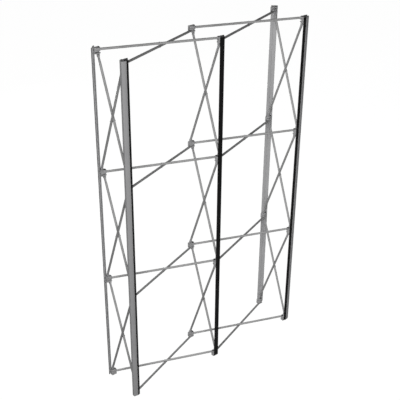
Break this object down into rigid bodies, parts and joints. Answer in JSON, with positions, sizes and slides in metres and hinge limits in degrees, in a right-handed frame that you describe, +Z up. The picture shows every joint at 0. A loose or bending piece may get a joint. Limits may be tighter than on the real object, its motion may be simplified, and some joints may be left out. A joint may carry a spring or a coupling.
{
  "type": "pop-up display backwall frame",
  "caption": "Straight folding scissor frame for a display backwall, with round struts pinned into small hubs and upright channel bars whose black magnetic tapes take the panels.",
  "frame": {"origin": "middle of the footprint, on the floor", "axes": "+Z up, +X to the right seen from the front, +Y towards the back; the panel side faces -Y"},
  "size_m": [1.3598, 0.3132, 2.2318],
  "materials": {
    "strut": "satin drawn tube",
    "hub": "moulded, lightly textured",
    "bar": "satin extrusion",
    "tape": "matte magnetic strip",
    "pin": "plain steel"
  },
  "bodies": {
    "hub_front_left_bottom": {"hub_front_left_bottom": "hub", "bar_front_left": "bar"},
    "hub_back_left_bottom": {"hub_with_bar_back_left_bottom": "bar"},
    "hub_front_middle_bottom": {"hub_with_bar_front_middle_bottom": "bar"},
    "hub_back_middle_bottom": {"hub_back_middle_bottom": "hub"},
    "hub_front_right_bottom": {"hub_front_right_bottom": "hub", "bar_front_right": "bar"},
    "hub_back_right_bottom": {"hub_with_bar_back_right_bottom": "bar"},
    "hub_front_left_lower": {"hub_front_left_lower": "hub"},
    "hub_back_left_lower": {"hub_back_left_lower": "hub"},
    "hub_front_middle_lower": {"hub_front_middle_lower": "hub"},
    "hub_back_middle_lower": {"hub_back_middle_lower": "hub"},
    "hub_front_right_lower": {"hub_front_right_lower": "hub"},
    "hub_back_right_lower": {"hub_back_right_lower": "hub"},
    "hub_front_left_upper": {"hub_front_left_upper": "hub"},
    "hub_back_left_upper": {"hub_back_left_upper": "hub"},
    "hub_front_middle_upper": {"hub_front_middle_upper": "hub"},
    "hub_back_middle_upper": {"hub_back_middle_upper": "hub"},
    "hub_front_right_upper": {"hub_front_right_upper": "hub"},
    "hub_back_right_upper": {"hub_back_right_upper": "hub"},
    "hub_front_left_top": {"hub_front_left_top": "hub"},
    "hub_back_left_top": {"hub_back_left_top": "hub"},
    "hub_front_middle_top": {"hub_front_middle_top": "hub"},
    "hub_back_middle_top": {"hub_back_middle_top": "hub"},
    "hub_front_right_top": {"hub_front_right_top": "hub"},
    "hub_back_right_top": {"hub_back_right_top": "hub"},
    "level_strut_left_bay_bottom_over": {"level_strut_left_bay_bottom_over": "strut"},
    "level_strut_left_bay_bottom_under": {"level_strut_left_bay_bottom_under": "strut"},
    "level_strut_right_bay_bottom_over": {"level_strut_right_bay_bottom_over": "strut"},
    "level_strut_right_bay_bottom_under": {"level_strut_right_bay_bottom_under": "strut"},
    "level_strut_left_bay_lower_over": {"level_strut_left_bay_lower_over": "strut"},
    "level_strut_left_bay_lower_under": {"level_strut_left_bay_lower_under": "strut"},
    "level_strut_right_bay_lower_over": {"level_strut_right_bay_lower_over": "strut"},
    "level_strut_right_bay_lower_under": {"level_strut_right_bay_lower_under": "strut"},
    "level_strut_left_bay_upper_over": {"level_strut_left_bay_upper_over": "strut"},
    "level_strut_left_bay_upper_under": {"level_strut_left_bay_upper_under": "strut"},
    "level_strut_right_bay_upper_over": {"level_strut_right_bay_upper_over": "strut"},
    "level_strut_right_bay_upper_under": {"level_strut_right_bay_upper_under": "strut"},
    "level_strut_left_bay_top_over": {"level_strut_left_bay_top_over": "strut"},
    "level_strut_left_bay_top_under": {"level_strut_left_bay_top_under": "strut"},
    "level_strut_right_bay_top_over": {"level_strut_right_bay_top_over": "strut"},
    "level_strut_right_bay_top_under": {"level_strut_right_bay_top_under": "strut"},
    "column_strut_left_low_leaning_back": {"column_strut_left_low_leaning_back": "strut"},
    "column_strut_left_low_leaning_front": {"column_strut_left_low_leaning_front": "strut"},
    "column_strut_middle_low_leaning_back": {"column_strut_middle_low_leaning_back": "strut"},
    "column_strut_middle_low_leaning_front": {"column_strut_middle_low_leaning_front": "strut"},
    "column_strut_right_low_leaning_back": {"column_strut_right_low_leaning_back": "strut"},
    "column_strut_right_low_leaning_front": {"column_strut_right_low_leaning_front": "strut"},
    "column_strut_left_mid_leaning_back": {"column_strut_left_mid_leaning_back": "strut"},
    "column_strut_left_mid_leaning_front": {"column_strut_left_mid_leaning_front": "strut"},
    "column_strut_middle_mid_leaning_back": {"column_strut_middle_mid_leaning_back": "strut"},
    "column_strut_middle_mid_leaning_front": {"column_strut_middle_mid_leaning_front": "strut"},
    "column_strut_right_mid_leaning_back": {"column_strut_right_mid_leaning_back": "strut"},
    "column_strut_right_mid_leaning_front": {"column_strut_right_mid_leaning_front": "strut"},
    "column_strut_left_high_leaning_back": {"column_strut_left_high_leaning_back": "strut"},
    "column_strut_left_high_leaning_front": {"column_strut_left_high_leaning_front": "strut"},
    "column_strut_middle_high_leaning_back": {"column_strut_middle_high_leaning_back": "strut"},
    "column_strut_middle_high_leaning_front": {"column_strut_middle_high_leaning_front": "strut"},
    "column_strut_right_high_leaning_back": {"column_strut_right_high_leaning_back": "strut"},
    "column_strut_right_high_leaning_front": {"column_strut_right_high_leaning_front": "strut"}
  },
  "joints": [
    {"name": "fold", "type": "hinge", "parent": "hub_front_middle_bottom", "child": "level_strut_left_bay_bottom_over", "pos_m": [0.011, -0.12899, 0.02475], "axis": [0, 0, -1], "range_deg": [0, 60]},
    {"name": "pivot_hub_back_left_bottom", "type": "hinge", "parent": "level_strut_left_bay_bottom_over", "child": "hub_back_left_bottom", "pos_m": [-0.65828, 0.12401, 0.02475], "axis": [0, 0, 1], "range_deg": [0, 60]},
    {"name": "pivot_level_strut_left_bay_bottom_under", "type": "hinge", "parent": "level_strut_left_bay_bottom_over", "child": "level_strut_left_bay_bottom_under", "pos_m": [-0.32364, -0.00249, 0.017], "axis": [0, 0, 1], "range_deg": [0, 120]},
    {"name": "pivot_hub_front_left_bottom", "type": "hinge", "parent": "level_strut_left_bay_bottom_under", "child": "hub_front_left_bottom", "pos_m": [-0.65828, -0.12899, 0.00925], "axis": [0, 0, -1], "range_deg": [0, 60]},
    {"name": "pivot_hub_back_middle_bottom", "type": "hinge", "parent": "level_strut_left_bay_bottom_under", "child": "hub_back_middle_bottom", "pos_m": [0.011, 0.12401, 0.00925], "axis": [0, 0, -1], "range_deg": [0, 60]},
    {"name": "pivot_level_strut_right_bay_bottom_under", "type": "hinge", "parent": "hub_front_middle_bottom", "child": "level_strut_right_bay_bottom_under", "pos_m": [-0.011, -0.12899, 0.00925], "axis": [0, 0, 1], "range_deg": [0, 60]},
    {"name": "pivot_hub_back_right_bottom", "type": "hinge", "parent": "level_strut_right_bay_bottom_under", "child": "hub_back_right_bottom", "pos_m": [0.65828, 0.12401, 0.00925], "axis": [0, 0, -1], "range_deg": [0, 60]},
    {"name": "pivot_level_strut_right_bay_bottom_over", "type": "hinge", "parent": "hub_back_middle_bottom", "child": "level_strut_right_bay_bottom_over", "pos_m": [-0.011, 0.12401, 0.02475], "axis": [0, 0, -1], "range_deg": [0, 60]},
    {"name": "pivot_hub_front_right_bottom", "type": "hinge", "parent": "level_strut_right_bay_bottom_over", "child": "hub_front_right_bottom", "pos_m": [0.65828, -0.12899, 0.02475], "axis": [0, 0, 1], "range_deg": [0, 60]},
    {"name": "pivot_column_strut_middle_low_leaning_back", "type": "hinge", "parent": "hub_front_middle_bottom", "child": "column_strut_middle_low_leaning_back", "pos_m": [0.00775, -0.12899, 0.048], "axis": [-1, 0, 0], "range_deg": [0, 60]},
    {"name": "pivot_hub_back_middle_lower", "type": "hinge", "parent": "column_strut_middle_low_leaning_back", "child": "hub_back_middle_lower", "pos_m": [0.00775, 0.12401, 0.71728], "axis": [1, 0, 0], "range_deg": [0, 60]},
    {"name": "pivot_column_strut_middle_mid_leaning_front", "type": "hinge", "parent": "hub_back_middle_lower", "child": "column_strut_middle_mid_leaning_front", "pos_m": [-0.00775, 0.12401, 0.77928], "axis": [1, 0, 0], "range_deg": [0, 60]},
    {"name": "pivot_hub_front_middle_upper", "type": "hinge", "parent": "column_strut_middle_mid_leaning_front", "child": "hub_front_middle_upper", "pos_m": [-0.00775, -0.12899, 1.44855], "axis": [-1, 0, 0], "range_deg": [0, 60]},
    {"name": "pivot_column_strut_middle_high_leaning_back", "type": "hinge", "parent": "hub_front_middle_upper", "child": "column_strut_middle_high_leaning_back", "pos_m": [0.00775, -0.12899, 1.51055], "axis": [-1, 0, 0], "range_deg": [0, 60]},
    {"name": "pivot_hub_back_middle_top", "type": "hinge", "parent": "column_strut_middle_high_leaning_back", "child": "hub_back_middle_top", "pos_m": [0.00775, 0.12401, 2.17983], "axis": [1, 0, 0], "range_deg": [0, 60]},
    {"name": "pivot_column_strut_middle_low_leaning_front", "type": "hinge", "parent": "hub_back_middle_bottom", "child": "column_strut_middle_low_leaning_front", "pos_m": [-0.00775, 0.12401, 0.048], "axis": [1, 0, 0], "range_deg": [0, 60]},
    {"name": "pivot_hub_front_middle_lower", "type": "hinge", "parent": "column_strut_middle_low_leaning_front", "child": "hub_front_middle_lower", "pos_m": [-0.00775, -0.12899, 0.71728], "axis": [-1, 0, 0], "range_deg": [0, 60]},
    {"name": "pivot_column_strut_middle_mid_leaning_back", "type": "hinge", "parent": "hub_front_middle_lower", "child": "column_strut_middle_mid_leaning_back", "pos_m": [0.00775, -0.12899, 0.77928], "axis": [-1, 0, 0], "range_deg": [0, 60]},
    {"name": "pivot_hub_back_middle_upper", "type": "hinge", "parent": "column_strut_middle_mid_leaning_back", "child": "hub_back_middle_upper", "pos_m": [0.00775, 0.12401, 1.44855], "axis": [1, 0, 0], "range_deg": [0, 60]},
    {"name": "pivot_column_strut_middle_high_leaning_front", "type": "hinge", "parent": "hub_back_middle_upper", "child": "column_strut_middle_high_leaning_front", "pos_m": [-0.00775, 0.12401, 1.51055], "axis": [1, 0, 0], "range_deg": [0, 60]},
    {"name": "pivot_hub_front_middle_top", "type": "hinge", "parent": "column_strut_middle_high_leaning_front", "child": "hub_front_middle_top", "pos_m": [-0.00775, -0.12899, 2.17983], "axis": [-1, 0, 0], "range_deg": [0, 60]},
    {"name": "pivot_level_strut_left_bay_lower_over", "type": "hinge", "parent": "hub_front_middle_lower", "child": "level_strut_left_bay_lower_over", "pos_m": [0.011, -0.12899, 0.75603], "axis": [0, 0, -1], "range_deg": [0, 60]},
    {"name": "pivot_hub_back_left_lower", "type": "hinge", "parent": "level_strut_left_bay_lower_over", "child": "hub_back_left_lower", "pos_m": [-0.65828, 0.12401, 0.75603], "axis": [0, 0, 1], "range_deg": [0, 60]},
    {"name": "pivot_level_strut_right_bay_lower_under", "type": "hinge", "parent": "hub_front_middle_lower", "child": "level_strut_right_bay_lower_under", "pos_m": [-0.011, -0.12899, 0.74053], "axis": [0, 0, 1], "range_deg": [0, 60]},
    {"name": "pivot_hub_back_right_lower", "type": "hinge", "parent": "level_strut_right_bay_lower_under", "child": "hub_back_right_lower", "pos_m": [0.65828, 0.12401, 0.74053], "axis": [0, 0, -1], "range_deg": [0, 60]},
    {"name": "pivot_level_strut_left_bay_lower_under", "type": "hinge", "parent": "hub_back_middle_lower", "child": "level_strut_left_bay_lower_under", "pos_m": [0.011, 0.12401, 0.74053], "axis": [0, 0, 1], "range_deg": [0, 60]},
    {"name": "pivot_hub_front_left_lower", "type": "hinge", "parent": "level_strut_left_bay_lower_under", "child": "hub_front_left_lower", "pos_m": [-0.65828, -0.12899, 0.74053], "axis": [0, 0, -1], "range_deg": [0, 60]},
    {"name": "pivot_level_strut_right_bay_lower_over", "type": "hinge", "parent": "hub_back_middle_lower", "child": "level_strut_right_bay_lower_over", "pos_m": [-0.011, 0.12401, 0.75603], "axis": [0, 0, -1], "range_deg": [0, 60]},
    {"name": "pivot_hub_front_right_lower", "type": "hinge", "parent": "level_strut_right_bay_lower_over", "child": "hub_front_right_lower", "pos_m": [0.65828, -0.12899, 0.75603], "axis": [0, 0, 1], "range_deg": [0, 60]},
    {"name": "pivot_level_strut_left_bay_upper_over", "type": "hinge", "parent": "hub_front_middle_upper", "child": "level_strut_left_bay_upper_over", "pos_m": [0.011, -0.12899, 1.4873], "axis": [0, 0, -1], "range_deg": [0, 60]},
    {"name": "pivot_hub_back_left_upper", "type": "hinge", "parent": "level_strut_left_bay_upper_over", "child": "hub_back_left_upper", "pos_m": [-0.65828, 0.12401, 1.4873], "axis": [0, 0, 1], "range_deg": [0, 60]},
    {"name": "pivot_level_strut_right_bay_upper_under", "type": "hinge", "parent": "hub_front_middle_upper", "child": "level_strut_right_bay_upper_under", "pos_m": [-0.011, -0.12899, 1.4718], "axis": [0, 0, 1], "range_deg": [0, 60]},
    {"name": "pivot_hub_back_right_upper", "type": "hinge", "parent": "level_strut_right_bay_upper_under", "child": "hub_back_right_upper", "pos_m": [0.65828, 0.12401, 1.4718], "axis": [0, 0, -1], "range_deg": [0, 60]},
    {"name": "pivot_level_strut_left_bay_upper_under", "type": "hinge", "parent": "hub_back_middle_upper", "child": "level_strut_left_bay_upper_under", "pos_m": [0.011, 0.12401, 1.4718], "axis": [0, 0, 1], "range_deg": [0, 60]},
    {"name": "pivot_hub_front_left_upper", "type": "hinge", "parent": "level_strut_left_bay_upper_under", "child": "hub_front_left_upper", "pos_m": [-0.65828, -0.12899, 1.4718], "axis": [0, 0, -1], "range_deg": [0, 60]},
    {"name": "pivot_level_strut_right_bay_upper_over", "type": "hinge", "parent": "hub_back_middle_upper", "child": "level_strut_right_bay_upper_over", "pos_m": [-0.011, 0.12401, 1.4873], "axis": [0, 0, -1], "range_deg": [0, 60]},
    {"name": "pivot_hub_front_right_upper", "type": "hinge", "parent": "level_strut_right_bay_upper_over", "child": "hub_front_right_upper", "pos_m": [0.65828, -0.12899, 1.4873], "axis": [0, 0, 1], "range_deg": [0, 60]},
    {"name": "pivot_level_strut_left_bay_top_over", "type": "hinge", "parent": "hub_front_middle_top", "child": "level_strut_left_bay_top_over", "pos_m": [0.011, -0.12899, 2.21858], "axis": [0, 0, -1], "range_deg": [0, 60]},
    {"name": "pivot_hub_back_left_top", "type": "hinge", "parent": "level_strut_left_bay_top_over", "child": "hub_back_left_top", "pos_m": [-0.65828, 0.12401, 2.21858], "axis": [0, 0, 1], "range_deg": [0, 60]},
    {"name": "pivot_level_strut_right_bay_top_under", "type": "hinge", "parent": "hub_front_middle_top", "child": "level_strut_right_bay_top_under", "pos_m": [-0.011, -0.12899, 2.20308], "axis": [0, 0, 1], "range_deg": [0, 60]},
    {"name": "pivot_hub_back_right_top", "type": "hinge", "parent": "level_strut_right_bay_top_under", "child": "hub_back_right_top", "pos_m": [0.65828, 0.12401, 2.20308], "axis": [0, 0, -1], "range_deg": [0, 60]},
    {"name": "pivot_level_strut_left_bay_top_under", "type": "hinge", "parent": "hub_back_middle_top", "child": "level_strut_left_bay_top_under", "pos_m": [0.011, 0.12401, 2.20308], "axis": [0, 0, 1], "range_deg": [0, 60]},
    {"name": "pivot_hub_front_left_top", "type": "hinge", "parent": "level_strut_left_bay_top_under", "child": "hub_front_left_top", "pos_m": [-0.65828, -0.12899, 2.20308], "axis": [0, 0, -1], "range_deg": [0, 60]},
    {"name": "pivot_level_strut_right_bay_top_over", "type": "hinge", "parent": "hub_back_middle_top", "child": "level_strut_right_bay_top_over", "pos_m": [-0.011, 0.12401, 2.21858], "axis": [0, 0, -1], "range_deg": [0, 60]},
    {"name": "pivot_hub_front_right_top", "type": "hinge", "parent": "level_strut_right_bay_top_over", "child": "hub_front_right_top", "pos_m": [0.65828, -0.12899, 2.21858], "axis": [0, 0, 1], "range_deg": [0, 60]},
    {"name": "pivot_column_strut_left_low_leaning_back", "type": "hinge", "parent": "hub_front_left_bottom", "child": "column_strut_left_low_leaning_back", "pos_m": [-0.63953, -0.12899, 0.048], "axis": [-1, 0, 0], "range_deg": [0, 60]},
    {"name": "pivot_column_strut_left_low_leaning_front", "type": "hinge", "parent": "hub_back_left_bottom", "child": "column_strut_left_low_leaning_front", "pos_m": [-0.65503, 0.12401, 0.048], "axis": [1, 0, 0], "range_deg": [0, 60]},
    {"name": "pivot_column_strut_left_mid_leaning_back", "type": "hinge", "parent": "hub_front_left_lower", "child": "column_strut_left_mid_leaning_back", "pos_m": [-0.63953, -0.12899, 0.77928], "axis": [-1, 0, 0], "range_deg": [0, 60]},
    {"name": "pivot_column_strut_left_mid_leaning_front", "type": "hinge", "parent": "hub_back_left_lower", "child": "column_strut_left_mid_leaning_front", "pos_m": [-0.65503, 0.12401, 0.77928], "axis": [1, 0, 0], "range_deg": [0, 60]},
    {"name": "pivot_column_strut_left_high_leaning_back", "type": "hinge", "parent": "hub_front_left_upper", "child": "column_strut_left_high_leaning_back", "pos_m": [-0.63953, -0.12899, 1.51055], "axis": [-1, 0, 0], "range_deg": [0, 60]},
    {"name": "pivot_column_strut_left_high_leaning_front", "type": "hinge", "parent": "hub_back_left_upper", "child": "column_strut_left_high_leaning_front", "pos_m": [-0.65503, 0.12401, 1.51055], "axis": [1, 0, 0], "range_deg": [0, 60]},
    {"name": "pivot_column_strut_right_low_leaning_back", "type": "hinge", "parent": "hub_front_right_bottom", "child": "column_strut_right_low_leaning_back", "pos_m": [0.65503, -0.12899, 0.048], "axis": [-1, 0, 0], "range_deg": [0, 60]},
    {"name": "pivot_column_strut_right_low_leaning_front", "type": "hinge", "parent": "hub_back_right_bottom", "child": "column_strut_right_low_leaning_front", "pos_m": [0.63953, 0.12401, 0.048], "axis": [1, 0, 0], "range_deg": [0, 60]},
    {"name": "pivot_column_strut_right_mid_leaning_back", "type": "hinge", "parent": "hub_front_right_lower", "child": "column_strut_right_mid_leaning_back", "pos_m": [0.65503, -0.12899, 0.77928], "axis": [-1, 0, 0], "range_deg": [0, 60]},
    {"name": "pivot_column_strut_right_mid_leaning_front", "type": "hinge", "parent": "hub_back_right_lower", "child": "column_strut_right_mid_leaning_front", "pos_m": [0.63953, 0.12401, 0.77928], "axis": [1, 0, 0], "range_deg": [0, 60]},
    {"name": "pivot_column_strut_right_high_leaning_back", "type": "hinge", "parent": "hub_front_right_upper", "child": "column_strut_right_high_leaning_back", "pos_m": [0.65503, -0.12899, 1.51055], "axis": [-1, 0, 0], "range_deg": [0, 60]},
    {"name": "pivot_column_strut_right_high_leaning_front", "type": "hinge", "parent": "hub_back_right_upper", "child": "column_strut_right_high_leaning_front", "pos_m": [0.63953, 0.12401, 1.51055], "axis": [1, 0, 0], "range_deg": [0, 60]}
  ],
  "couplings": [
    {"joint": "pivot_hub_back_left_bottom", "follows": "fold", "ratio": 1},
    {"joint": "pivot_level_strut_left_bay_bottom_under", "follows": "fold", "ratio": 2},
    {"joint": "pivot_hub_front_left_bottom", "follows": "fold", "ratio": 1},
    {"joint": "pivot_hub_back_middle_bottom", "follows": "fold", "ratio": 1},
    {"joint": "pivot_level_strut_right_bay_bottom_under", "follows": "fold", "ratio": 1},
    {"joint": "pivot_hub_back_right_bottom", "follows": "fold", "ratio": 1},
    {"joint": "pivot_level_strut_right_bay_bottom_over", "follows": "fold", "ratio": 1},
    {"joint": "pivot_hub_front_right_bottom", "follows": "fold", "ratio": 1},
    {"joint": "pivot_column_strut_middle_low_leaning_back", "follows": "fold", "ratio": 1},
    {"joint": "pivot_hub_back_middle_lower", "follows": "fold", "ratio": 1},
    {"joint": "pivot_column_strut_middle_mid_leaning_front", "follows": "fold", "ratio": 1},
    {"joint": "pivot_hub_front_middle_upper", "follows": "fold", "ratio": 1},
    {"joint": "pivot_column_strut_middle_high_leaning_back", "follows": "fold", "ratio": 1},
    {"joint": "pivot_hub_back_middle_top", "follows": "fold", "ratio": 1},
    {"joint": "pivot_column_strut_middle_low_leaning_front", "follows": "fold", "ratio": 1},
    {"joint": "pivot_hub_front_middle_lower", "follows": "fold", "ratio": 1},
    {"joint": "pivot_column_strut_middle_mid_leaning_back", "follows": "fold", "ratio": 1},
    {"joint": "pivot_hub_back_middle_upper", "follows": "fold", "ratio": 1},
    {"joint": "pivot_column_strut_middle_high_leaning_front", "follows": "fold", "ratio": 1},
    {"joint": "pivot_hub_front_middle_top", "follows": "fold", "ratio": 1},
    {"joint": "pivot_level_strut_left_bay_lower_over", "follows": "fold", "ratio": 1},
    {"joint": "pivot_hub_back_left_lower", "follows": "fold", "ratio": 1},
    {"joint": "pivot_level_strut_right_bay_lower_under", "follows": "fold", "ratio": 1},
    {"joint": "pivot_hub_back_right_lower", "follows": "fold", "ratio": 1},
    {"joint": "pivot_level_strut_left_bay_lower_under", "follows": "fold", "ratio": 1},
    {"joint": "pivot_hub_front_left_lower", "follows": "fold", "ratio": 1},
    {"joint": "pivot_level_strut_right_bay_lower_over", "follows": "fold", "ratio": 1},
    {"joint": "pivot_hub_front_right_lower", "follows": "fold", "ratio": 1},
    {"joint": "pivot_level_strut_left_bay_upper_over", "follows": "fold", "ratio": 1},
    {"joint": "pivot_hub_back_left_upper", "follows": "fold", "ratio": 1},
    {"joint": "pivot_level_strut_right_bay_upper_under", "follows": "fold", "ratio": 1},
    {"joint": "pivot_hub_back_right_upper", "follows": "fold", "ratio": 1},
    {"joint": "pivot_level_strut_left_bay_upper_under", "follows": "fold", "ratio": 1},
    {"joint": "pivot_hub_front_left_upper", "follows": "fold", "ratio": 1},
    {"joint": "pivot_level_strut_right_bay_upper_over", "follows": "fold", "ratio": 1},
    {"joint": "pivot_hub_front_right_upper", "follows": "fold", "ratio": 1},
    {"joint": "pivot_level_strut_left_bay_top_over", "follows": "fold", "ratio": 1},
    {"joint": "pivot_hub_back_left_top", "follows": "fold", "ratio": 1},
    {"joint": "pivot_level_strut_right_bay_top_under", "follows": "fold", "ratio": 1},
    {"joint": "pivot_hub_back_right_top", "follows": "fold", "ratio": 1},
    {"joint": "pivot_level_strut_left_bay_top_under", "follows": "fold", "ratio": 1},
    {"joint": "pivot_hub_front_left_top", "follows": "fold", "ratio": 1},
    {"joint": "pivot_level_strut_right_bay_top_over", "follows": "fold", "ratio": 1},
    {"joint": "pivot_hub_front_right_top", "follows": "fold", "ratio": 1},
    {"joint": "pivot_column_strut_left_low_leaning_back", "follows": "fold", "ratio": 1},
    {"joint": "pivot_column_strut_left_low_leaning_front", "follows": "fold", "ratio": 1},
    {"joint": "pivot_column_strut_left_mid_leaning_back", "follows": "fold", "ratio": 1},
    {"joint": "pivot_column_strut_left_mid_leaning_front", "follows": "fold", "ratio": 1},
    {"joint": "pivot_column_strut_left_high_leaning_back", "follows": "fold", "ratio": 1},
    {"joint": "pivot_column_strut_left_high_leaning_front", "follows": "fold", "ratio": 1},
    {"joint": "pivot_column_strut_right_low_leaning_back", "follows": "fold", "ratio": 1},
    {"joint": "pivot_column_strut_right_low_leaning_front", "follows": "fold", "ratio": 1},
    {"joint": "pivot_column_strut_right_mid_leaning_back", "follows": "fold", "ratio": 1},
    {"joint": "pivot_column_strut_right_mid_leaning_front", "follows": "fold", "ratio": 1},
    {"joint": "pivot_column_strut_right_high_leaning_back", "follows": "fold", "ratio": 1},
    {"joint": "pivot_column_strut_right_high_leaning_front", "follows": "fold", "ratio": 1}
  ]
}
